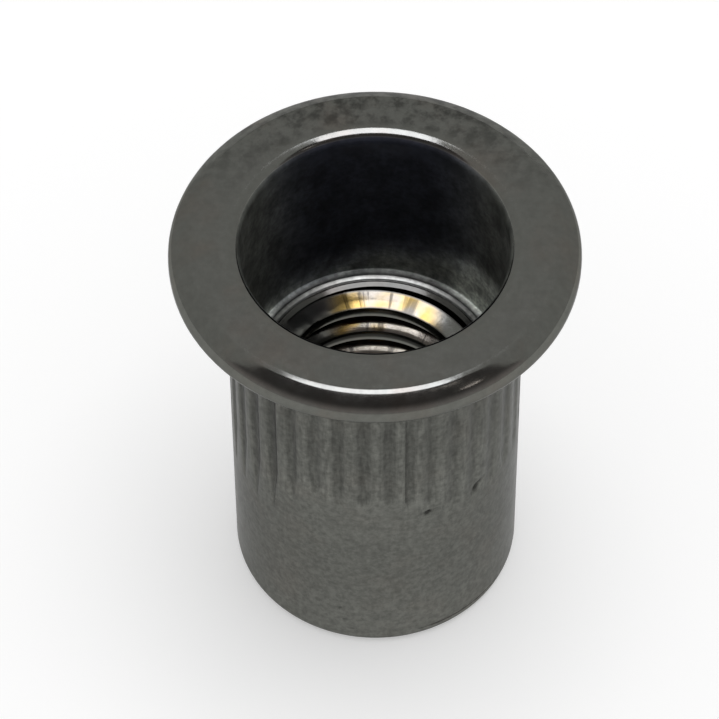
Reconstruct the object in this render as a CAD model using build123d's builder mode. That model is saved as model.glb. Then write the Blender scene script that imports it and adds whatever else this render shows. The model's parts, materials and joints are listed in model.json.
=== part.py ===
from build123d import *
import os
from math import radians, tan

# Rivet nut: a sleeve with a thin flange at its upper end. A smooth counterbore goes down
# from the mouth to a shoulder, and a threaded hole goes on from there to the lower end.
# Narrow ribs stand between shallow grooves on the upper half of the shank, and stop the
# nut from turning in its sheet. It stands on its lower end, with the origin on the axis
# at that end. All sizes are in millimetres.

# Thread, left plain at its minor diameter
thread_minor_diameter = 6.6
thread_wall_length = 8.605
lower_countersink_width = 0.8
lower_countersink_angle = 90.0

# Lead-in cone between the shoulder and the thread
lead_in_width = 1.035
lead_in_angle = 140.0

# Counterbore, whose thin wall folds when the nut is set, and the flat shoulder at its end
shoulder_width = 0.375
shoulder_chamfer = 0.1
counterbore_depth = 7.57
mouth_rounding = 0.42

# Shank
wall_thickness = 0.54
end_rounding = 0.44

# Flange
flange_overhang = 1.95
flange_thickness = 1.07
flange_bevel_width = 0.65
flange_bevel_angle = 33.0
flange_edge_rounding = 0.35
flange_lower_rounding = 0.28
neck_chamfer = 0.12

# Least flat left beside a broken edge
smallest_land = 0.03

# Grooves that leave the ribs between them
rib_count = 36
groove_width = 0.62
groove_depth = 0.11
groove_gap_below_flange = 0.3
groove_upper_runout = 0.6
groove_full_length = 5.9
groove_lower_runout = 1.4
cutter_overlap = 0.05

# Radii, each a wall or a width outside the one before
thread_radius = thread_minor_diameter / 2
lower_countersink_radius = thread_radius + lower_countersink_width
lead_in_radius = thread_radius + lead_in_width
counterbore_radius = lead_in_radius + shoulder_width
shank_radius = counterbore_radius + wall_thickness
flange_radius = shank_radius + flange_overhang

# Heights above the lower end
lower_countersink_top = lower_countersink_width / tan(radians(lower_countersink_angle / 2))
thread_top = lower_countersink_top + thread_wall_length
shoulder_height = thread_top + lead_in_width / tan(radians(lead_in_angle / 2))
overall_length = shoulder_height + counterbore_depth
flange_underside = overall_length - flange_thickness

bevel_bottom = overall_length - flange_bevel_width * tan(radians(flange_bevel_angle))

# Broken edges are no larger than the faces beside them
rim_half_height = (bevel_bottom - flange_underside - smallest_land) / 2
rim_lower_corner = min(flange_lower_rounding, rim_half_height)
bevel_corner = min(flange_edge_rounding, rim_half_height / tan(radians(45 - flange_bevel_angle / 2)))
shoulder_corner = min(shoulder_chamfer, shoulder_width - smallest_land)

# Three-sided bar that cuts one V-shaped groove. Each end rises to a point just outside the
# shank, so that the groove runs out there.
groove_top = flange_underside - groove_gap_below_flange
groove_full_top = groove_top - groove_upper_runout
groove_full_bottom = groove_full_top - groove_full_length
groove_bottom = groove_full_bottom - groove_lower_runout
cutter_depth = groove_depth + cutter_overlap
cutter_half_width = groove_width / 2 * cutter_depth / groove_depth
cutter_root = shank_radius - groove_depth
cutter_back = shank_radius + cutter_overlap

with BuildPart() as groove_cutter:
    with BuildSketch(Plane.XY.offset(groove_full_bottom)) as groove_section:
        with BuildLine():
            Polyline(
                (cutter_root, 0),
                (cutter_back, cutter_half_width),
                (cutter_back, -cutter_half_width),
                close=True,
            )
        make_face()
    extrude(amount=groove_full_length)
    upper_face = groove_cutter.faces().sort_by(Axis.Z)[-1]
    lower_face = groove_cutter.faces().sort_by(Axis.Z)[0]
    loft(sections=[upper_face, Vertex(cutter_back, 0, groove_top)])
    loft(sections=[lower_face, Vertex(cutter_back, 0, groove_bottom)])


def corner(section, radius, height):
    """The corner of the half section at one radius and height."""
    return section.vertices().sort_by_distance((radius, height))[0]


with BuildPart() as rivet_nut:
    # Half section from the axis outward, turned into the sleeve and its flange
    with BuildSketch(Plane.XZ) as half_section:
        with BuildLine():
            Polyline(
                (lower_countersink_radius, 0),
                (shank_radius, 0),
                (shank_radius, flange_underside),
                (flange_radius, flange_underside),
                (flange_radius, bevel_bottom),
                (flange_radius - flange_bevel_width, overall_length),
                (counterbore_radius, overall_length),
                (counterbore_radius, shoulder_height),
                (lead_in_radius, shoulder_height),
                (thread_radius, thread_top),
                (thread_radius, lower_countersink_top),
                close=True,
            )
        make_face()
        fillet(corner(half_section, shank_radius, 0), end_rounding)
        chamfer(corner(half_section, shank_radius, flange_underside), neck_chamfer)
        fillet(corner(half_section, flange_radius, flange_underside), rim_lower_corner)
        fillet(corner(half_section, flange_radius, bevel_bottom), bevel_corner)
        fillet(corner(half_section, flange_radius - flange_bevel_width, overall_length), bevel_corner)
        fillet(corner(half_section, counterbore_radius, overall_length), mouth_rounding)
        chamfer(corner(half_section, counterbore_radius, shoulder_height), shoulder_corner)
    revolve(axis=Axis.Z)

    # Grooves round the shank, with a rib left between each two and one rib on the X axis
    with PolarLocations(0, rib_count, start_angle=180 / rib_count):
        add(groove_cutter.part, mode=Mode.SUBTRACT)

rivet_nut.part.label = "rivet_nut"

os.makedirs("parts", exist_ok=True)
export_step(rivet_nut.part, "parts/rivet_nut.step")
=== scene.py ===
import json
from math import atan2, cos, radians, sin, tan

import bpy
import numpy as np
from mathutils import Matrix, Vector


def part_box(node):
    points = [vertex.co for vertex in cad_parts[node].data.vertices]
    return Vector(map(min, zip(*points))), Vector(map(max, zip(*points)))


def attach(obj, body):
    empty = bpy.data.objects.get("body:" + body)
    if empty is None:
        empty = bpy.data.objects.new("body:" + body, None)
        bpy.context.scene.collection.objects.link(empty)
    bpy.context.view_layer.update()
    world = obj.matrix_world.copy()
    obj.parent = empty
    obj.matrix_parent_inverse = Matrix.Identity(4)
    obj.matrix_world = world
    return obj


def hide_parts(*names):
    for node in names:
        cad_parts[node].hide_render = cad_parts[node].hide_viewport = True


# A flanged rivet nut of dark plated steel. The solid from the frame is replaced by one
# closed mesh of the same form, which adds the thread's turns, the worn ribs and small
# dents. Sizes are in millimetres and angles in degrees until the mesh is made.

MM = 0.001
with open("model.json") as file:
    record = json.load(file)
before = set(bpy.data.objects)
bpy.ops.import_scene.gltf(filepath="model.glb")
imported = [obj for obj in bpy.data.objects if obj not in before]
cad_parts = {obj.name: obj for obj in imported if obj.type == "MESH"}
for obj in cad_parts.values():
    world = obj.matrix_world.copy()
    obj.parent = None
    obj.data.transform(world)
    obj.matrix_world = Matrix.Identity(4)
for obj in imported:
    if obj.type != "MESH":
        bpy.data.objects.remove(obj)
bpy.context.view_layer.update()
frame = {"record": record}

# Sizes that the frame gives
mounts = {m["name"]: m for m in frame["record"]["mounts"]}
node_low, node_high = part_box("rivet_nut")
HEIGHT = node_high.z / MM
FLANGE_RADIUS = min(node_high.x, node_high.y, -node_low.x, -node_low.y) / MM
SHANK_RADIUS = mounts["shank"]["dims"]["r_mm"]
BORE_RADIUS = mounts["counterbore"]["dims"]["r_mm"]
THREAD_RADIUS = mounts["thread"]["dims"]["r_mm"]
THREAD_TOP = mounts["thread"]["pos_m"][2] / MM + mounts["thread"]["dims"]["length_mm"] / 2
UNDERSIDE = mounts["flange_seat"]["pos_m"][2] / MM

# Section of the sleeve and flange. The support is the gap of the extra ring that keeps the
# shading flat beside a rounded edge.
END_ROUNDING = 0.44
END_FLAT_RADIUS = 4.45
SEAT_RING_RADIUS = 6.0
NECK_BEVEL = 0.12
FLANGE_LOWER_ROUNDING = 0.28
BEVEL_WIDTH = 0.65
BEVEL_ANGLE = 33.0
BEVEL_ROUNDING = 0.36
# Degrees that the bulging bevel turns across its width, and that are left beside the face
BEVEL_TURN = 6.0
FACE_TURN = 5.0
# The rim is rounder in front: between these cosines of the angle round from the front
RIM_ROUNDING = 0.35
FRONT_RIM_ROUNDING = 0.66
FRONT_RIM_COSINES = (-0.2, 0.6)
MOUTH_ROUNDING = 0.42
SHOULDER_ROUNDING = 0.05
LEAD_IN_WIDTH = 1.035
LEAD_IN_ANGLE = 140.0
LIP_OUTSIDE = 0.07
LIP_INSIDE = 0.06
LIP_HEIGHT = 0.06
RING_WIDTH = 0.07
THREAD_MOUTH_RADIUS = 4.0
LOWER_COUNTERSINK = 0.8
SUPPORT = 0.02

# Thread. The rows are heights about the middle of a crest.
PITCH = 1.4111
THREAD_DEPTH = 0.67
FLANK_WIDTH = 0.371
CREST_HALF_WIDTH = 0.235
THREAD_EDGE = 0.02
EDGE_REACH = 0.3
ROW_TO_RING = 0.03
FIRST_CREST_DEPTH = 8.35
THREAD_ROWS = (-0.66, -0.606, -0.50, -0.37, -0.255, -0.225, -0.18, -0.11, -0.03, 0.09,
               0.19, 0.225, 0.255, 0.33, 0.40, 0.43, 0.52, 0.606, 0.66, 0.7055)

# The first turn is cut steeper. It starts and ends along a stretch, in degrees round from
# the X axis, and fades out across a small height.
FIRST_TURN_DEPTH = 0.70
FIRST_TURN_SLOPE = 3.7
FIRST_TURN_STRETCH = (5.0, 30.0, 230.0, 300.0)
FIRST_TURN_FADE = 0.05

# Painted light and shade across a crest, as height about its middle and brightness: a painted
# highlight on the crest's lower half and painted shade on its upper half, out to a small depth
CREST_PAINTED_TONES = ((-0.255, 1.0), (-0.21, 2.2), (-0.12, 2.2), (-0.05, 0.8),
               (0.0, 0.3), (0.235, 0.3), (0.26, 1.0))
CREST_PAINTED_TONE_DEPTH = 0.06

# Ribs, which are what the grooves leave between them. Columns and shares are parts of half
# a pitch, from the middle of a groove to the middle of a rib.
RIB_COUNT = 36
RIB_START = 0.4
RIB_PLAY = 0.45
GROOVE_SHARE = 0.60
GROOVE_DEPTH = 0.10
GROOVE_COLUMNS = (-1.0, -0.75, -0.5, -0.25, 0.0, 0.25, 0.5, 0.75, 1.0)
RIB_COLUMN = 0.84
GROOVE_TOP_GAP = 0.3
GROOVE_TOP_RUNOUT = 0.6
GROOVE_END_DEPTH = 8.68
GROOVE_END_RUNOUT = 0.6
GROOVE_SHADE_POWER = 0.6
TIP_SHARE = 0.12
BLUNT_SHARE = 0.75
# Painted shade: how much darker the grooves are on the left
PAINTED_SHADE_LEFT = 0.2
COLUMN_RELAX = 1.2
RIBBED_DROP = 0.008
CREST_RISE = 0.005

# Stretches of the shank, in degrees from the front: where each starts, is full, starts to
# end and has ended
EARLY_STRETCH = (5.0, 22.0, 60.0, 110.0)
LEFT_STRETCH = (24.0, 48.0, 110.0, 150.0)
RIGHT_STRETCH = (8.0, 34.0, 110.0, 150.0)
FRONT_WIDTH = 30.0

# What differs in them, and the play of each groove
EARLY_BY = 3.2
LOWER_END_LEFT, LOWER_END_RIGHT, END_PLAY = 2.45, 1.35, 0.12
LONGER_RUNOUT_LEFT, SHORTER_RUNOUT_FRONT, RUNOUT_PLAY = 1.9, 0.5, (-0.1, 0.3)
SHALLOWER_RIGHT, DEPTH_PLAY = 0.35, (0.8, 1.05)

# Steps between the rings of the shank, from the lower end up
END_STEPS = 8
CREASE_STEPS = 8
SPECK_STEP = 0.06
GROOVE_STEP = 0.095

random_sizes = np.random.default_rng(11)


def smooth_step(low, high, value):
    """0 below low, 1 above high, and a smooth rise between them."""
    t = np.clip((value - low) / (high - low), 0.0, 1.0)
    return t * t * (3.0 - 2.0 * t)


def bump(centre, width, value):
    """A round hump of height 1 about a centre."""
    return np.exp(-(((value - centre) / width) ** 2))


def facing_angle(angle):
    """Degrees round the nut from the side that faces the camera, positive to the right."""
    return (angle + 90.0 + 180.0) % 360.0 - 180.0


def stretch(limits, value):
    """1 along a stretch and 0 elsewhere, with smooth ends."""
    start, full, last, end = limits
    return smooth_step(start, full, value) * (1.0 - smooth_step(last, end, value))


def arc(centre_radius, centre_height, rounding, start, end, steps):
    """Points of a round edge as (radius, height), between two directions."""
    angles = np.radians(np.linspace(start, end, steps + 1))
    return [(centre_radius + rounding * cos(a), centre_height + rounding * sin(a)) for a in angles]


class Skin:
    """Rings of points, joined by faces from each ring to the next."""

    def __init__(self):
        self.points = []
        self.reliefs = []
        self.painted_tones = []
        self.faces = []

    def ring(self, angles, radii, heights, relief=0.0, tone=1.0):
        """Adds one ring of points and returns their numbers. The relief is 3 in a nick, 1 in
        the bottom of a groove, 0 on plain metal and -1 on a rib; the material paints shade
        in nicks and grooves and a highlight on ribs from it. The painted light and shade of
        each point brightens the metal or darkens it."""
        angles = np.radians(angles)
        radii = np.broadcast_to(radii, angles.shape)
        heights = np.broadcast_to(heights, angles.shape)
        first = len(self.points)
        self.points.extend(zip(radii * np.cos(angles), radii * np.sin(angles), heights))
        self.reliefs.extend(np.broadcast_to(relief, angles.shape))
        self.painted_tones.extend(np.broadcast_to(tone, angles.shape))
        return np.arange(first, first + len(angles))

    def join(self, ring_a, ring_b):
        """Faces between two rings. One may have twice as many points as the other."""
        next_a, next_b = np.roll(ring_a, -1), np.roll(ring_b, -1)
        if len(ring_a) == len(ring_b):
            self.faces.extend(zip(ring_a, next_a, next_b, ring_b))
        elif len(ring_a) > len(ring_b):
            even, odd, after = ring_a[0::2], ring_a[1::2], np.roll(ring_a, -2)[0::2]
            self.faces.extend(zip(even, odd, ring_b))
            self.faces.extend(zip(odd, next_b, ring_b))
            self.faces.extend(zip(odd, after, next_b))
        else:
            even, odd, after = ring_b[0::2], ring_b[1::2], np.roll(ring_b, -2)[0::2]
            self.faces.extend(zip(ring_a, odd, even))
            self.faces.extend(zip(ring_a, next_a, odd))
            self.faces.extend(zip(next_a, after, odd))


# Columns of the outer skin: one cell for each groove, from the middle of a rib to the next
columns = [-1.0, -RIB_COLUMN]
columns += [GROOVE_SHARE * c for c in GROOVE_COLUMNS]
columns += [RIB_COLUMN]
cell_columns = np.tile(columns, RIB_COUNT)
cell_numbers = np.repeat(np.arange(RIB_COUNT), len(columns))


def rib_angles():
    """Where the middle of each rib is: evenly spaced, apart from a stretch on the right
    where they run a third of a pitch early, and a little play."""
    even = np.arange(RIB_COUNT) * 360.0 / RIB_COUNT
    early = stretch(EARLY_STRETCH, facing_angle(even))
    play = random_sizes.uniform(-RIB_PLAY, RIB_PLAY, RIB_COUNT)
    return even + RIB_START - EARLY_BY * early + play


ribs = rib_angles()
next_ribs = np.append(ribs[1:], ribs[0] + 360.0)
groove_middles = (ribs + next_ribs) / 2
groove_halves = (next_ribs - ribs) / 2
groove_facing = facing_angle(groove_middles)

# On the left the grooves end lower, in long points. In front they end bluntly, and on the
# right they are shallow and worn.
left_side = stretch(LEFT_STRETCH, -groove_facing)
front = bump(0.0, FRONT_WIDTH, groove_facing)
right_side = stretch(RIGHT_STRETCH, groove_facing)
groove_ends = GROOVE_END_DEPTH + LOWER_END_LEFT * left_side + LOWER_END_RIGHT * right_side
groove_ends = groove_ends + random_sizes.uniform(-END_PLAY, END_PLAY, RIB_COUNT)
groove_ends = HEIGHT - groove_ends
groove_runouts = GROOVE_END_RUNOUT + LONGER_RUNOUT_LEFT * left_side
groove_runouts = groove_runouts + random_sizes.uniform(*RUNOUT_PLAY, RIB_COUNT)
groove_runouts = groove_runouts * (1.0 - SHORTER_RUNOUT_FRONT * front)
blunt_ends = BLUNT_SHARE * np.maximum(front, right_side) * (1.0 - left_side)
groove_depths = GROOVE_DEPTH * (1.0 - SHALLOWER_RIGHT * right_side)
groove_depths = groove_depths * random_sizes.uniform(*DEPTH_PLAY, RIB_COUNT)
groove_top = UNDERSIDE - GROOVE_TOP_GAP

# Nicks in the shank, which the material darkens with painted shade: degrees from the front,
# height, length, width, depth and slant
NICKS = (
    (20.9, HEIGHT - 9.47, 0.14, 0.10, 0.11, 0.45),
    (23.8, HEIGHT - 9.37, 0.22, 0.04, 0.02, 0.30),
    (44.6, HEIGHT - 9.38, 0.27, 0.095, 0.11, 0.85),
    (34.0, HEIGHT - 8.1, 0.16, 0.05, 0.03, 1.2),
    (-14.6, 2.05, 0.12, 0.06, 0.03, 1.2),
    (-12.8, 1.37, 0.11, 0.055, 0.03, 0.2),
    (-9.7, 0.83, 0.11, 0.055, 0.025, 0.2),
)
FULL_NICK = 0.06
SPECKS_BELOW = 2.3

# A crease on the right, just above the rounded lower end, which the material darkens with
# painted shade
CREASE_STRETCH = (12.0, 27.0, 47.0, 62.0)
CREASE_HEIGHT = 0.53
CREASE_WIDTH = 0.035
CREASE_DEPTH = 0.045


def nick_depth(angles, height):
    """How far the nicks push the shank's surface in."""
    depth = np.zeros(angles.shape)
    facing = facing_angle(angles)
    for at, level, length, width, deep, slant in NICKS:
        aside = np.radians(facing - at) * SHANK_RADIUS
        along = aside * cos(slant) + (height - level) * sin(slant)
        across = (height - level) * cos(slant) - aside * sin(slant)
        depth += deep * np.exp(-((along / length) ** 2) - (across / width) ** 2)
    crease = stretch(CREASE_STRETCH, facing) * bump(CREASE_HEIGHT, CREASE_WIDTH, height)
    return depth + CREASE_DEPTH * crease


def shank_ring(skin, height, radius=SHANK_RADIUS):
    """One ring of the outer skin, with its columns drawn together where the grooves end."""
    rise = (height - groove_ends) / groove_runouts
    fall = (groove_top - height) / GROOVE_TOP_RUNOUT
    share = np.clip(np.minimum(rise, fall), 0.0, 1.0)
    below = smooth_step(0.0, COLUMN_RELAX, groove_ends - height)
    above = smooth_step(0.0, GROOVE_TOP_GAP, height - groove_top)
    narrow = share + (1.0 - share) * blunt_ends
    width = np.maximum(narrow, TIP_SHARE) + (1.0 - TIP_SHARE) * np.maximum(below, above)
    width = np.minimum(width, 1.0)[cell_numbers]
    share, narrow = share[cell_numbers], narrow[cell_numbers]
    inside = np.abs(cell_columns) <= GROOVE_SHARE + 1e-6
    edge = GROOVE_SHARE * width
    on_rib = edge + (np.abs(cell_columns) - GROOVE_SHARE) / (1.0 - GROOVE_SHARE) * (1.0 - edge)
    place = np.where(inside, cell_columns * width, np.sign(cell_columns) * on_rib)
    angles = groove_middles[cell_numbers] + place * groove_halves[cell_numbers]
    part = np.clip(np.abs(place) / (GROOVE_SHARE * np.maximum(narrow, 1e-6)), 0.0, 1.0)
    scoop = share * (1.0 - part ** 2.0)
    on_crest = np.clip((np.abs(place) - GROOVE_SHARE) / (RIB_COLUMN - GROOVE_SHARE), 0.0, 1.0)
    on_crest = on_crest * np.minimum(share * 2.0, 1.0)
    nicks = nick_depth(angles, height)
    depths = groove_depths[cell_numbers]
    radii = radius - depths * scoop - nicks - RIBBED_DROP * share + CREST_RISE * on_crest
    # The relief gives painted shade in the grooves and nicks and a painted highlight on the ribs;
    # the grooves on the left get more painted shade
    shade = scoop ** GROOVE_SHADE_POWER
    relief = depths / GROOVE_DEPTH * shade - on_crest
    relief = relief + 3.0 * np.minimum(nicks / FULL_NICK, 1.0)
    tone = 1.0 - PAINTED_SHADE_LEFT * left_side[cell_numbers] * shade
    return skin.ring(angles, radii, height, relief, tone)


def outer_rings(skin):
    """Lower end, shank and ribs, up to the neck under the flange."""
    rings = []
    end_edge = SHANK_RADIUS - END_ROUNDING
    end = arc(end_edge, END_ROUNDING, END_ROUNDING, -90.0, 0.0, END_STEPS)
    flat = [(END_FLAT_RADIUS, 0.0), (end_edge - SUPPORT, 0.0)]
    for radius, height in flat + end:
        rings.append(shank_ring(skin, height, radius))
    lowest_tip = groove_ends.min() - 0.05
    full = groove_ends.max() + groove_runouts.max()
    heights = list(np.linspace(END_ROUNDING + SUPPORT, END_ROUNDING + 0.16, CREASE_STEPS))
    heights += list(np.arange(END_ROUNDING + 0.25, SPECKS_BELOW, SPECK_STEP))
    heights += list(np.linspace(SPECKS_BELOW, lowest_tip, 9))
    heights += list(np.arange(lowest_tip, full, GROOVE_STEP))[1:]
    heights += list(np.linspace(full, groove_top - GROOVE_TOP_RUNOUT, 4))
    heights += list(np.linspace(groove_top - GROOVE_TOP_RUNOUT, groove_top, 5))[1:]
    heights += [groove_top + 0.5 * (GROOVE_TOP_GAP - NECK_BEVEL), UNDERSIDE - NECK_BEVEL]
    for height in heights:
        rings.append(shank_ring(skin, height))
    for ring_a, ring_b in zip(rings, rings[1:]):
        skin.join(ring_a, ring_b)
    return rings[0], rings[-1]


def flange_section(angles):
    """Points of the flange, mouth, counterbore and shoulder, from the neck inwards. The rim is
    rounder in front, and its bevel bulges a little."""
    front_share = smooth_step(*FRONT_RIM_COSINES, np.cos(np.radians(facing_angle(angles))))
    rounding = RIM_ROUNDING + (FRONT_RIM_ROUNDING - RIM_ROUNDING) * front_share
    bevel_normal = 90.0 - BEVEL_ANGLE
    bevel_drop = BEVEL_WIDTH * tan(radians(BEVEL_ANGLE))
    upper_turn = BEVEL_ROUNDING * tan(radians(BEVEL_ANGLE / 2))
    lower_turn = rounding * tan(radians(bevel_normal / 2))
    face_edge = FLANGE_RADIUS - BEVEL_WIDTH - upper_turn
    rim_top = HEIGHT - bevel_drop - lower_turn
    lower_centre = FLANGE_RADIUS - FLANGE_LOWER_ROUNDING
    mouth_edge = BORE_RADIUS + MOUTH_ROUNDING
    cone_rise = 1.0 / tan(radians(LEAD_IN_ANGLE / 2))
    lead_in_edge = THREAD_RADIUS + LEAD_IN_WIDTH
    lip_inner = lead_in_edge - LIP_INSIDE
    cone_top = THREAD_TOP + (lip_inner - THREAD_RADIUS) * cone_rise
    shoulder = cone_top + LIP_HEIGHT
    lower_height = UNDERSIDE + FLANGE_LOWER_ROUNDING
    bevel_start, bevel_end = bevel_normal - BEVEL_TURN / 2, bevel_normal + BEVEL_TURN / 2
    points = [(SHANK_RADIUS + NECK_BEVEL, UNDERSIDE), (SEAT_RING_RADIUS, UNDERSIDE)]
    points += [(lower_centre - SUPPORT, UNDERSIDE)]
    points += arc(lower_centre, lower_height, FLANGE_LOWER_ROUNDING, -90.0, 0.0, 6)
    rim = arc(FLANGE_RADIUS - rounding, rim_top, rounding, 0.0, bevel_start, 12)
    bevel_height = HEIGHT - BEVEL_ROUNDING
    bevel = arc(face_edge, bevel_height, BEVEL_ROUNDING, bevel_end, 90.0 - FACE_TURN, 8)
    bulge = radians(BEVEL_TURN) / 2 * BEVEL_WIDTH / 2
    points += rim
    for t in (0.2, 0.4, 0.6, 0.8):
        out = bulge * t * (1.0 - t)
        radius = rim[-1][0] * (1.0 - t) + bevel[0][0] * t + out * cos(radians(bevel_normal))
        height = rim[-1][1] * (1.0 - t) + bevel[0][1] * t + out * sin(radians(bevel_normal))
        points += [(radius, height)]
    points += bevel + [(bevel[-1][0] - SUPPORT / 2, HEIGHT)]
    points += [(radius, HEIGHT) for radius in np.linspace(face_edge, mouth_edge, 6)[:-1]]
    points += [(mouth_edge + SUPPORT, HEIGHT)]
    points += arc(mouth_edge, HEIGHT - MOUTH_ROUNDING, MOUTH_ROUNDING, 90.0, 180.0, 10)
    wall_bottom = shoulder + SHOULDER_ROUNDING
    wall = np.linspace(HEIGHT - MOUTH_ROUNDING, wall_bottom, 8)[1:-1]
    points += [(BORE_RADIUS, HEIGHT - MOUTH_ROUNDING - SUPPORT)]
    points += [(BORE_RADIUS, height) for height in wall]
    points += [(BORE_RADIUS, wall_bottom + SUPPORT)]
    points += arc(BORE_RADIUS - SHOULDER_ROUNDING, wall_bottom, SHOULDER_ROUNDING, 0.0, -90.0, 3)
    lip = lead_in_edge + LIP_OUTSIDE
    points += [(lip + SUPPORT, shoulder), (lip, shoulder - 0.2 * SUPPORT)]
    points += [(lip_inner + SUPPORT, cone_top + 0.5 * SUPPORT), (lip_inner, cone_top)]
    ring_edge = lip_inner - RING_WIDTH
    points += [(ring_edge + SUPPORT, cone_top - 0.2 * SUPPORT)]
    points += [(ring_edge, cone_top - 0.5 * SUPPORT)]
    for radius in np.linspace(ring_edge - SUPPORT, THREAD_MOUTH_RADIUS, 5):
        points += [(radius, THREAD_TOP + (radius - THREAD_RADIUS) * cone_rise)]
    return points


def smooth_ramp(value, rounding):
    """Zero on the left and a straight rise on the right, with a round corner."""
    return (value + np.sqrt(value ** 2 + rounding ** 2)) / 2


def thread_surface(angles, heights):
    """Radius and painted light and shade of the threaded hole, with its lead-in cone and lower
    countersink. The first turn is cut steeper and deeper, and the crests carry painted shade
    with a painted highlight along their lower edge."""
    first_crest = HEIGHT - FIRST_CREST_DEPTH - PITCH / 4 + PITCH * angles / 360.0
    offset = (heights - first_crest + PITCH / 2) % PITCH - PITCH / 2
    first = smooth_step(-FIRST_TURN_FADE, FIRST_TURN_FADE, heights - first_crest)
    first = first * stretch(FIRST_TURN_STRETCH, angles)
    slope = THREAD_DEPTH / FLANK_WIDTH * (1.0 - first) + FIRST_TURN_SLOPE * first
    deepest = THREAD_DEPTH * (1.0 - first) + FIRST_TURN_DEPTH * first
    rise = slope * smooth_ramp(np.abs(offset) - CREST_HALF_WIDTH, THREAD_EDGE)
    turns = THREAD_RADIUS + np.minimum(rise, deepest)
    cone = THREAD_RADIUS + (heights - THREAD_TOP) * tan(radians(LEAD_IN_ANGLE / 2))
    countersink = THREAD_RADIUS + LOWER_COUNTERSINK - heights
    radii = turns + smooth_ramp(cone - turns, THREAD_EDGE)
    radii = radii + smooth_ramp(countersink - radii, THREAD_EDGE)
    # Painted highlight on the lower half of each crest and painted shade on its upper half
    painted_tones = np.interp(offset, *zip(*CREST_PAINTED_TONES))
    return radii, np.where(radii < THREAD_RADIUS + CREST_PAINTED_TONE_DEPTH, painted_tones, 1.0)


def thread_rings(skin, upper_ring, angles, low, high):
    """The threaded hole, whose rows follow the helix and end on the rings above and below it.
    Where a crest meets the lead-in cone, the nearest row moves to that edge."""
    count = len(angles)
    rows_per_turn = len(THREAD_ROWS)
    lower_ring = skin.ring(angles, THREAD_RADIUS + LOWER_COUNTERSINK, low)
    start = HEIGHT - FIRST_CREST_DEPTH - PITCH / 4
    turns_below = int((start - low) / PITCH) + 3
    turns = turns_below + int((high - start) / PITCH) + 3
    crests = start + (np.arange(turns) - turns_below) * PITCH
    bases = [crest + row for crest in crests for row in THREAD_ROWS]
    row_heights = np.array(bases)[:, None] + PITCH * angles / 360.0
    edge_radii = thread_surface(angles, np.full(count, THREAD_TOP))[0]
    on_edge = np.flatnonzero(edge_radii < THREAD_RADIUS + EDGE_REACH)
    nearest = np.argmin(np.abs(row_heights - THREAD_TOP), axis=0)
    row_heights[nearest[on_edge], on_edge] = THREAD_TOP
    numbers, edge_points = [], set()
    for heights in row_heights:
        row = np.where(heights < low + ROW_TO_RING, lower_ring, -1)
        row = np.where(heights > high - ROW_TO_RING, upper_ring, row)
        free = row < 0
        radii, painted_tones = thread_surface(angles[free], heights[free])
        row[free] = skin.ring(angles[free], radii, heights[free], 0.0, painted_tones)
        edge_points.update(row[heights == THREAD_TOP])
        numbers.append(row)
    for i, (row, upper_row) in enumerate(zip(numbers, numbers[1:])):
        for j in range(count):
            if j + 1 < count:
                corners = (upper_row[j], upper_row[j + 1], row[j + 1], row[j])
            elif i + 1 + rows_per_turn < len(bases):
                above, here = numbers[i + 1 + rows_per_turn][0], numbers[i + rows_per_turn][0]
                corners = (upper_row[j], above, here, row[j])
            else:
                continue
            face = [c for k, c in enumerate(corners) if c != corners[k - 1]]
            if len(face) == 4 and face[0] in edge_points and face[2] in edge_points:
                skin.faces += [(face[0], face[1], face[2]), (face[0], face[2], face[3])]
            elif len(set(face)) >= 3:
                skin.faces.append(tuple(face))
    return lower_ring


# Faces that meet at more than this angle have a sharp edge
SHARP_ANGLE = 34.0

# Where the shares that the mesh stores begin and end, in millimetres: below the flange's
# face, inward from the bore's wall, outward from the crests, and from the axis
BORE_BELOW = (0.09, 0.18)
BORE_INWARD = (0.15, 0.25)
SLOPE_OUTWARD = (0.01, 0.05)
CONE_RADII = (3.97, 3.995)
LIP_RADII = (4.265, 4.285, 4.39, 4.42)


def add_shares(mesh, name, shares):
    """Stores one number for each point of the mesh, for the material to read."""
    attribute = mesh.attributes.new(name, "FLOAT", "POINT")
    attribute.data.foreach_set("value", np.asarray(shares, dtype=np.float32))


def nut_mesh():
    """The whole nut as one closed mesh."""
    skin = Skin()
    end_ring, neck_ring = outer_rings(skin)
    neck = [skin.points[n] for n in neck_ring[0::2]]
    inner_angles = np.degrees([atan2(y, x) for x, y, _ in neck]) % 360.0
    order = int(np.argmin(inner_angles))
    last = neck_ring
    for radius, height in flange_section(inner_angles):
        ring = skin.ring(inner_angles, radius, height)
        skin.join(last, ring)
        last = ring
    turned = np.roll(np.arange(len(last)), -order)
    lower = thread_rings(skin, last[turned], inner_angles[turned], 0.0, height)
    skin.join(np.roll(lower, order), end_ring)
    mesh = bpy.data.meshes.new("rivet_nut_body")
    points = [tuple(MM * c for c in point) for point in skin.points]
    mesh.from_pydata(points, [], [tuple(map(int, face)) for face in skin.faces])
    mesh.validate()
    mesh.shade_smooth()
    mesh.set_sharp_from_angle(angle=radians(SHARP_ANGLE))
    store_shares(mesh, skin)
    return mesh


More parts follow.
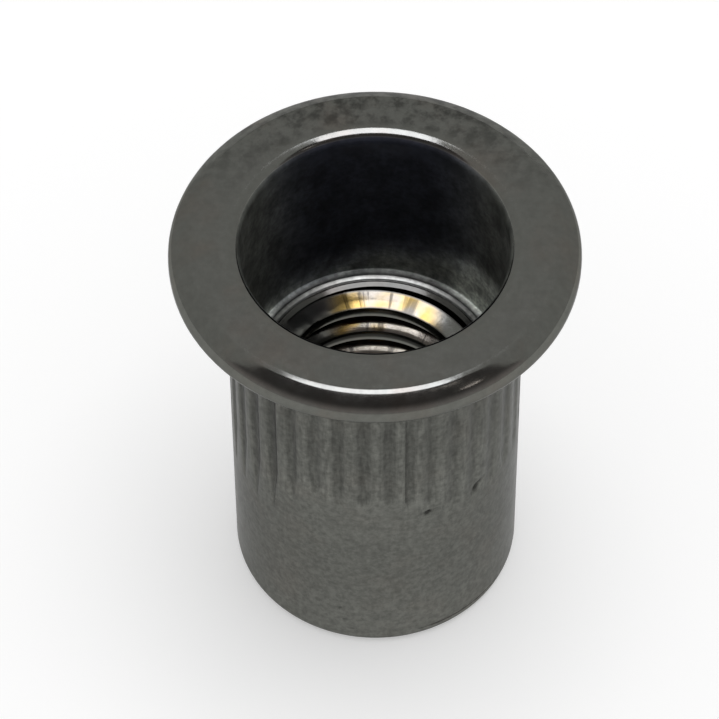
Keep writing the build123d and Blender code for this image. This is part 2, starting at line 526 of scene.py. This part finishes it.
def store_shares(mesh, skin):
    """Stores how much each point belongs to the bore, cone, lip, slopes and shank."""
    radius = np.hypot(*np.array(skin.points).T[:2])
    height = np.array(skin.points)[:, 2]
    inside = radius < BORE_RADIUS + 0.1
    upper = height > UNDERSIDE / 2
    mouth_start, mouth_end = (HEIGHT - below for below in BORE_BELOW)
    wall_start, wall_end = (BORE_RADIUS - inward for inward in BORE_INWARD)
    below_mouth = smooth_step(mouth_start, mouth_end, height)
    off_wall = smooth_step(wall_start, wall_end, radius)
    slope_radii = [THREAD_RADIUS + outward for outward in SLOPE_OUTWARD]
    on_lip = stretch(LIP_RADII, radius)
    on_cone = smooth_step(*CONE_RADII, radius) * (1.0 - on_lip)
    outside = radius > THREAD_RADIUS + LOWER_COUNTERSINK + 0.1
    below_flange = height < UNDERSIDE - NECK_BEVEL + 0.01
    add_shares(mesh, "relief", np.array(skin.reliefs))
    add_shares(mesh, "tone", np.array(skin.painted_tones))
    add_shares(mesh, "bore", inside * below_mouth * (1.0 - off_wall))
    add_shares(mesh, "cone", inside * on_cone * upper)
    add_shares(mesh, "lip", inside * on_lip * upper)
    add_shares(mesh, "slope", inside * stretch((*slope_radii, *CONE_RADII), radius))
    add_shares(mesh, "shank", outside * below_flange * 1.0)


# Steel with dark plating, and colours of painted light: painted shade and a painted
# reflection in the bore, and painted glints on the thread's slopes
STEEL = (0.131, 0.133, 0.120)
STEEL_BROWN = (0.138, 0.125, 0.108)
BORE_PAINTED_SHADE_STEEL = (0.066, 0.074, 0.104)
BORE_PAINTED_REFLECTION_STEEL = (0.086, 0.090, 0.080)
PAINTED_GLINT_STEEL = (0.170, 0.163, 0.145)
PAINTED_GOLDEN_GLINT_STEEL = (0.220, 0.150, 0.038)
SPECULAR_TINT = (0.6, 0.6, 0.6, 1.0)

# Sizes of the patterns, as features in a metre. The golden patches of the painted glints and
# the edge of the bore's painted reflection are patterns of painted light.
CLOUDS, GOLDEN_GLINT_PATCHES, BORE_REFLECTION_EDGE, MOTTLE, STAINS = 420.0, 700.0, 900.0, 1100.0, 1800.0
GLOSS_PATCHES, UNEVENNESS, SCRATCHES = 2200.0, 3000.0, 3500.0
GRAIN, LINES, STREAKS = 4500.0, 7000.0, 8000.0

# Where the looks change, in metres: aside from the middle, or above the lower end, or from
# the axis. They place the bore's painted shade and painted reflection, the thread's painted
# glints, the stains, and the shank's painted light at its lower end and painted shade under
# the flange. The depth is the bump's.
BORE_SHADE_MIDDLE = (0.0015, 0.0045)
BORE_REFLECTION_LOW = (0.0103, 0.0128)
BORE_REFLECTION_EDGE_PLAY = 0.0012
GLINT_ASIDE, GLINT_WIDTH = 0.0003, (0.0015, 0.0023)
SECOND_TURN_GLINT = (0.0078, 0.0084)
STAIN_RADII = (0.0051, 0.0055)
STAIN_AWAY = (0.001, 0.007)
PAINTED_LIGHT_END = (0.0, 0.005)
PAINTED_SHADE_RIBS = (0.009, 0.012)
BUMP_DEPTH = 0.00001


class Nodes:
    """Adds nodes to a material or world, each set and joined in one call."""

    def __init__(self, tree):
        self.tree = tree
        tree.nodes.clear()

    def add(self, kind, settings=None, inputs=None):
        node = self.tree.nodes.new(kind)
        for name, value in (settings or {}).items():
            setattr(node, name, value)
        for name, value in (inputs or {}).items():
            if isinstance(value, bpy.types.NodeSocket):
                self.tree.links.new(value, node.inputs[name])
            else:
                node.inputs[name].default_value = value
        return node

    def math(self, operation, a, b=0.0):
        return self.add("ShaderNodeMath", {"operation": operation}, {0: a, 1: b}).outputs[0]

    def times(self, a, b):
        return self.math("MULTIPLY", a, b)

    def plus(self, a, b):
        return self.math("ADD", a, b)

    def minus(self, a, b):
        return self.math("SUBTRACT", a, b)

    def noise(self, vector, scale, detail=4.0, roughness=0.5):
        inputs = {"Vector": vector, "Scale": scale, "Detail": detail, "Roughness": roughness}
        return self.add("ShaderNodeTexNoise", None, inputs).outputs["Fac"]

    def span(self, value, low, high, to_low=0.0, to_high=1.0):
        settings = {"interpolation_type": "SMOOTHSTEP"}
        inputs = {"Value": value, "From Min": low, "From Max": high}
        inputs.update({"To Min": to_low, "To Max": to_high})
        return self.add("ShaderNodeMapRange", settings, inputs).outputs["Result"]

    def share(self, name):
        """A number that the mesh stores for each point."""
        return self.add("ShaderNodeAttribute", {"attribute_name": name}).outputs["Fac"]

    def brighten(self, colour, value):
        """The colour made brighter or darker."""
        inputs = {"Color": colour, "Value": value}
        return self.add("ShaderNodeHueSaturation", None, inputs).outputs["Color"]

    def mix(self, factor, a, b):
        node = self.add("ShaderNodeMix", {"data_type": "RGBA"})
        for socket, value in ((0, factor), (6, a), (7, b)):
            if isinstance(value, bpy.types.NodeSocket):
                self.tree.links.new(value, node.inputs[socket])
            else:
                node.inputs[socket].default_value = value if socket == 0 else (*value, 1.0)
        return node.outputs[2]


def steel_material():
    """Dark plating: glossy on the flange, duller and mottled on the shank, and dullest in the bore.
    Its colour also carries painted light: painted shade, dark and bluish, and a painted
    reflection in the bore, painted light and shade along the shank and in its grooves and
    nicks, painted shade on the cone and crests, painted highlights on the lip and ribs, and
    painted glints with a golden tint on the thread's slopes."""
    material = bpy.data.materials.new("plated_steel")
    material.use_nodes = True
    n = Nodes(material.node_tree)
    place = n.add("ShaderNodeTexCoord").outputs["Object"]
    lengthwise = {"Vector": place, "Scale": (1.0, 1.0, 0.15)}
    lengthwise = n.add("ShaderNodeMapping", None, lengthwise).outputs[0]
    across, away, up = n.add("ShaderNodeSeparateXYZ", None, {0: place}).outputs
    around = n.times(n.math("ARCTAN2", away, across), 0.004)
    around = n.add("ShaderNodeCombineXYZ", None, {0: around, 1: n.times(up, 0.2)}).outputs[0]
    radius = n.math("SQRT", n.plus(n.times(across, across), n.times(away, away)))
    bore, cone, slope, shank = n.share("bore"), n.share("cone"), n.share("slope"), n.share("shank")
    relief = n.share("relief")

    # Colour: brownish clouds; in the bore, painted shade, dark and bluish, in the middle, and a
    # greenish painted reflection at the sides and lower down, reaching higher on the right; on
    # the thread's slopes, painted glints, bright with golden patches, only across the width
    # where the bright card is seen
    clouds = n.span(n.noise(place, CLOUDS, 4.0, 0.6), 0.45, 0.75, 0.0, 0.7)
    clouds = n.times(clouds, n.span(shank, 0.0, 1.0, 1.0, 0.4))
    colour = n.mix(clouds, STEEL, STEEL_BROWN)
    middle = n.span(n.math("ABSOLUTE", across), *BORE_SHADE_MIDDLE, 1.0, 0.0)
    low = n.plus(up, n.times(n.noise(place, BORE_REFLECTION_EDGE, 3.0), BORE_REFLECTION_EDGE_PLAY))
    low = n.span(n.minus(low, n.times(across, 0.25)), *BORE_REFLECTION_LOW, 1.0, 0.0)
    bluish = n.times(middle, n.minus(1.0, low))
    colour = n.mix(bore, colour, n.mix(bluish, BORE_PAINTED_REFLECTION_STEEL, BORE_PAINTED_SHADE_STEEL))
    lit = n.math("ABSOLUTE", n.minus(across, GLINT_ASIDE))
    slope = n.times(slope, n.span(lit, *GLINT_WIDTH, 1.0, 0.0))
    golden_glint = n.span(n.noise(place, GOLDEN_GLINT_PATCHES, 2.0), 0.45, 0.62, 0.1, 0.9)
    colour = n.mix(slope, colour, PAINTED_GLINT_STEEL)
    colour = n.mix(n.times(golden_glint, slope), colour, PAINTED_GOLDEN_GLINT_STEEL)

    # Brightness: stains at the back, grain, a painted brighter glint on the slopes of the
    # second turn and below, scratches on the thread and lines on the ribs
    stains = n.span(n.noise(place, STAINS, 4.0, 0.65), 0.38, 0.66)
    stains = n.times(stains, n.span(radius, *STAIN_RADII))
    value = n.minus(1.0, n.times(stains, n.span(away, *STAIN_AWAY, 0.06, 0.6)))
    grain = n.span(n.noise(place, GRAIN, 4.0, 0.65), 0.25, 0.75, -1.0, 1.0)
    grain = n.times(grain, n.span(shank, 0.0, 1.0, 0.07, 0.24))
    grain = n.times(grain, n.span(bore, 0.0, 1.0, 1.0, 1.6))
    value = n.times(value, n.plus(1.0, grain))
    brighter_second_glint = n.times(slope, n.span(up, *SECOND_TURN_GLINT, 0.9, 0.0))
    value = n.times(value, n.plus(1.0, brighter_second_glint))
    scratches = n.span(n.noise(around, SCRATCHES, 3.0), 0.52, 0.64, 0.0, 0.6)
    value = n.times(value, n.minus(1.0, n.times(scratches, slope)))
    lines = n.span(n.noise(lengthwise, LINES, 3.0, 0.6), 0.25, 0.75, -1.0, 1.0)
    lines = n.times(lines, n.span(n.math("ABSOLUTE", relief), 0.0, 0.6, 0.05, 0.22))
    value = n.times(value, n.plus(1.0, n.times(lines, shank)))

    # Brightness of each part, which is painted light and shade: the shank painted lighter at its
    # lower end and with painted shade under the flange, painted shade on the cone, a painted
    # highlight on the lip, painted shade in the grooves and nicks, a painted highlight on the
    # ribs, painted light and shade in the bore, and the painted light and shade of the crests
    # and of the grooves on the left
    painted_light_end = n.times(shank, n.span(up, *PAINTED_LIGHT_END, 0.3, 0.03))
    painted_shade_ribs = n.times(shank, n.span(up, *PAINTED_SHADE_RIBS, 0.0, 0.17))
    value = n.times(value, n.plus(1.0, n.minus(painted_light_end, painted_shade_ribs)))
    value = n.times(value, n.span(cone, 0.0, 1.0, 1.0, 0.40))
    value = n.times(value, n.span(n.share("lip"), 0.0, 1.0, 1.0, 1.4))
    value = n.times(value, n.span(relief, 0.0, 1.0, 1.0, 0.72))
    value = n.times(value, n.span(relief, 1.0, 3.0, 1.0, 0.4))
    value = n.times(value, n.span(relief, -1.0, 0.0, 1.04, 1.0))
    # Painted light and shade in the bore: darker in the middle, lighter at the sides and far
    # lighter lower down, where it stands for a reflection, with mottling
    wall = n.times(n.span(middle, 0.0, 1.0, 3.1, 0.85), n.span(low, 0.0, 1.0, 1.0, 6.5))
    wall = n.times(wall, n.span(n.noise(place, MOTTLE, 4.0, 0.6), 0.3, 0.7, 0.65, 1.35))
    wall = n.add("ShaderNodeMix", None, {0: bore, 2: 1.0, 3: wall}).outputs[0]
    value = n.times(n.times(value, wall), n.share("tone"))

    # Gloss: duller on the shank, and dullest in the bore
    roughness = n.span(n.noise(place, GLOSS_PATCHES, 4.0), 0.3, 0.7, 0.10, 0.15)
    roughness = n.plus(roughness, n.times(shank, 0.18))
    roughness = n.plus(roughness, n.times(bore, 0.32))
    fine_streaks = n.times(n.noise(lengthwise, STREAKS, 2.0), 0.3)
    uneven = n.plus(n.noise(place, UNEVENNESS, 4.0, 0.6), fine_streaks)
    strength = n.span(shank, 0.0, 1.0, 0.15, 0.6)
    bumps = {"Height": uneven, "Strength": strength, "Distance": BUMP_DEPTH}
    shader = n.add("ShaderNodeBsdfPrincipled", None, {
        "Base Color": n.brighten(colour, value),
        "Metallic": n.span(bore, 0.0, 1.0, 1.0, 0.55),
        "Roughness": roughness,
        "Normal": n.add("ShaderNodeBump", None, bumps).outputs["Normal"],
        "Specular Tint": SPECULAR_TINT,
    })
    n.add("ShaderNodeOutputMaterial", None, {"Surface": shader.outputs[0]})
    return material


def make_nut():
    """The detailed nut, which stands for the solid."""
    nut = bpy.data.objects.new("rivet_nut_body", nut_mesh())
    bpy.context.scene.collection.objects.link(nut)
    nut.data.materials.append(steel_material())
    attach(nut, "root")
    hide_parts("rivet_nut")
    return nut


# Floor: half its width in metres, its steps, and how much it glows to the camera
FLOOR_HALF, FLOOR_STEPS = 0.6, 12
FLOOR_GLOW = 0.3
FLOOR_COLOUR = (0.8, 0.8, 0.8, 1.0)
WHITE = (1.0, 1.0, 1.0, 1.0)


def grid_faces(columns, rows):
    """Faces of a grid whose points are counted row by row."""
    faces = []
    for row in range(rows - 1):
        for column in range(columns - 1):
            first = row * columns + column
            faces.append((first, first + 1, first + columns + 1, first + columns))
    return faces


def make_floor():
    """A pale floor that looks white to the camera and keeps the nut's shadow."""
    edges = np.linspace(-FLOOR_HALF, FLOOR_HALF, FLOOR_STEPS + 1)
    points = [(x, y, 0.0) for y in edges for x in edges]
    mesh = bpy.data.meshes.new("floor")
    mesh.from_pydata(points, [], grid_faces(len(edges), len(edges)))
    floor = bpy.data.objects.new("floor", mesh)
    bpy.context.scene.collection.objects.link(floor)
    material = bpy.data.materials.new("pale_floor")
    material.use_nodes = True
    n = Nodes(material.node_tree)
    path = n.add("ShaderNodeLightPath")
    seen = n.math("MAXIMUM", path.outputs["Is Camera Ray"], path.outputs["Is Glossy Ray"])
    seen = n.math("MAXIMUM", seen, path.outputs["Is Transmission Ray"])
    lift = n.times(seen, FLOOR_GLOW)
    diffuse = n.add("ShaderNodeBsdfDiffuse", None, {"Color": FLOOR_COLOUR})
    glow = n.add("ShaderNodeEmission", None, {"Color": WHITE, "Strength": lift})
    both = n.add("ShaderNodeAddShader", None, {0: diffuse.outputs[0], 1: glow.outputs[0]})
    n.add("ShaderNodeOutputMaterial", None, {"Surface": both.outputs[0]})
    mesh.materials.append(material)


def make_world():
    """Pale studio walls, which the camera sees as white."""
    world = bpy.data.worlds.new("studio")
    bpy.context.scene.world = world
    world.use_nodes = True
    n = Nodes(world.node_tree)
    path = n.add("ShaderNodeLightPath")
    strength = n.span(path.outputs["Is Camera Ray"], 0.0, 1.0, WALL_LEVEL, 1.0)
    back = n.add("ShaderNodeBackground", None, {"Color": WHITE, "Strength": strength})
    n.add("ShaderNodeOutputWorld", None, {"Surface": back.outputs[0]})


# Lamps. The bright card hangs level above the nut and is seen in reflections alone. Its
# corners are given aside and away, as shares of its height above the flange.
WALL_LEVEL = 0.68
CARD_HEIGHT = 0.5
BRIGHT_CARD = (
    (-0.07, 0.57), (0.068, 0.57), (0.10, 0.46), (0.132, 0.377), (0.19, 0.20), (0.263, 0.07),
    (0.335, -0.12), (0.41, -0.28), (0.15, -0.365), (0.0, -0.38), (-0.25, -0.345),
    (-0.45, -0.29), (-0.57, -0.23), (-0.57, -0.16), (-0.375, -0.11), (-0.30, 0.05),
    (-0.21, 0.21), (-0.14, 0.375), (-0.105, 0.46),
)
CARD_LEVEL = 6.8
CARD_COLOUR = (0.98, 0.98, 1.08)

# A dark screen behind the camera, paler at its foot, and small lamps before it. Each small
# lamp has its direction round from the front and above the floor, its width and its height.
SCREEN_DISTANCE = 0.4
SCREEN_SIDE = 73.0
SCREEN_LOW, SCREEN_HIGH = 5.0, 66.0
SCREEN_FOOT_LEVEL, SCREEN_LEVEL = 0.68, 0.14
SCREEN_EVEN_ABOVE = 54.0
SCREEN_COLOUR = (1.0, 0.92, 0.94)
SMALL_LAMPS = (
    (39.5, 60.9, 1.8, 1.2),
    (46.2, 59.8, 2.6, 1.6),
    (51.5, 58.8, 2.4, 1.6),
    (54.0, 48.5, 9.0, 2.5),
)
SMALL_LAMP_LEVEL = 3.2
SMALL_LAMP_COLOUR = (1.0, 0.9, 0.88)
SMALL_LAMP_DISTANCE = 0.97 * SCREEN_DISTANCE

# The soft lamp, which reflections don't see: its place, size and power
SOFT_LAMP_PLACE = (0.05, 0.06, 0.6)
SOFT_LAMP_SIZE = (0.4, 0.3)
SOFT_LAMP_POWER = 0.9


def make_card(name, points, faces, level, colour=(1.0, 1.0, 1.0)):
    """Flat pieces that only reflections see. The level is one number or depends on the
    height, as ((height, level), (height, level))."""
    mesh = bpy.data.meshes.new(name)
    mesh.from_pydata(points, [], faces)
    card = bpy.data.objects.new(name, mesh)
    bpy.context.scene.collection.objects.link(card)
    material = bpy.data.materials.new(name)
    material.use_nodes = True
    n = Nodes(material.node_tree)
    if isinstance(level, tuple):
        place = n.add("ShaderNodeTexCoord").outputs["Object"]
        up = n.add("ShaderNodeSeparateXYZ", None, {0: place}).outputs["Z"]
        (low, low_level), (high, high_level) = level
        level = n.span(up, low, high, low_level, high_level)
    glow = n.add("ShaderNodeEmission", None, {"Color": (*colour, 1.0), "Strength": level})
    n.add("ShaderNodeOutputMaterial", None, {"Surface": glow.outputs[0]})
    mesh.materials.append(material)
    card.visible_camera = False
    card.visible_diffuse = False
    card.visible_transmission = False
    card.visible_volume_scatter = False
    card.visible_shadow = False


def toward(side, rise, distance):
    """A point in a direction from the nut, in degrees round from the front and up."""
    side, rise = radians(side), radians(rise)
    return distance * sin(side) * cos(rise), -distance * cos(side) * cos(rise), distance * sin(rise)


def make_lights():
    """The bright card overhead, the dark screen with its small lamps, and one soft lamp."""
    top = HEIGHT * MM + CARD_HEIGHT
    points = [(aside * CARD_HEIGHT, away * CARD_HEIGHT, top) for aside, away in BRIGHT_CARD]
    make_card("bright_card", points, [tuple(range(len(points)))], CARD_LEVEL, CARD_COLOUR)
    sides = np.linspace(-SCREEN_SIDE, SCREEN_SIDE, 17)
    rises = np.linspace(SCREEN_LOW, SCREEN_HIGH, 9)
    points = [toward(side, rise, SCREEN_DISTANCE) for rise in rises for side in sides]
    faces = grid_faces(len(sides), len(rises))
    foot = (SCREEN_DISTANCE * sin(radians(SCREEN_LOW)), SCREEN_FOOT_LEVEL)
    even = (SCREEN_DISTANCE * sin(radians(SCREEN_EVEN_ABOVE)), SCREEN_LEVEL)
    make_card("dark_screen", points, faces, (foot, even), SCREEN_COLOUR)
    for number, (side, rise, width, height) in enumerate(SMALL_LAMPS, 1):
        corners = []
        for right, above in ((-0.5, -0.5), (0.5, -0.5), (0.5, 0.5), (-0.5, 0.5)):
            to_side, to_rise = side + right * width, rise + above * height
            corners.append(toward(to_side, to_rise, SMALL_LAMP_DISTANCE))
        name = "small_lamp_" + str(number)
        make_card(name, corners, [(0, 1, 2, 3)], SMALL_LAMP_LEVEL, SMALL_LAMP_COLOUR)
    data = bpy.data.lights.new("soft_lamp", "AREA")
    data.shape = "RECTANGLE"
    data.size, data.size_y = SOFT_LAMP_SIZE
    data.energy = SOFT_LAMP_POWER
    lamp = bpy.data.objects.new("soft_lamp", data)
    lamp.location = SOFT_LAMP_PLACE
    lamp.rotation_euler = (-Vector(SOFT_LAMP_PLACE)).to_track_quat("-Z", "Y").to_euler()
    lamp.visible_glossy = False
    bpy.context.scene.collection.objects.link(lamp)


# Camera, worked out from the photograph. It looks past the middle of the flange's face, to
# one side and below, by distances in millimetres across the view.
CAMERA_ELEVATION = 51.3006
CAMERA_DISTANCE = 145.43
CAMERA_ROLL = -0.1642
AIM_ASIDE = -0.544
AIM_BELOW = 4.131
FOCAL_LENGTH = 210.12
SENSOR_WIDTH = 36.0
CLIP_START, CLIP_END = 0.005, 5.0


def make_camera():
    """The camera, whose axes are turned by hand to keep the photograph's roll."""
    rise = radians(CAMERA_ELEVATION)
    forward = Vector((0.0, cos(rise), -sin(rise)))
    up = Vector((0.0, sin(rise), cos(rise)))
    right = Vector((1.0, 0.0, 0.0))
    flange = Vector((0.0, 0.0, HEIGHT))
    place = flange - forward * CAMERA_DISTANCE
    aim = flange + right * AIM_ASIDE - up * AIM_BELOW
    ahead = (aim - place).normalized()
    side = ahead.cross(up).normalized()
    above = side.cross(ahead)
    roll = Matrix.Rotation(radians(CAMERA_ROLL), 3, "Z")
    turn = Matrix((side, above, -ahead)).transposed() @ roll
    data = bpy.data.cameras.new("camera")
    data.lens = FOCAL_LENGTH
    data.sensor_width = SENSOR_WIDTH
    data.clip_start, data.clip_end = CLIP_START, CLIP_END
    camera = bpy.data.objects.new("camera", data)
    camera.matrix_world = Matrix.Translation(place * MM) @ turn.to_4x4()
    bpy.context.scene.collection.objects.link(camera)
    bpy.context.scene.camera = camera


bpy.context.scene.view_settings.view_transform = "Standard"
make_nut()
make_floor()
make_world()
make_lights()
make_camera()
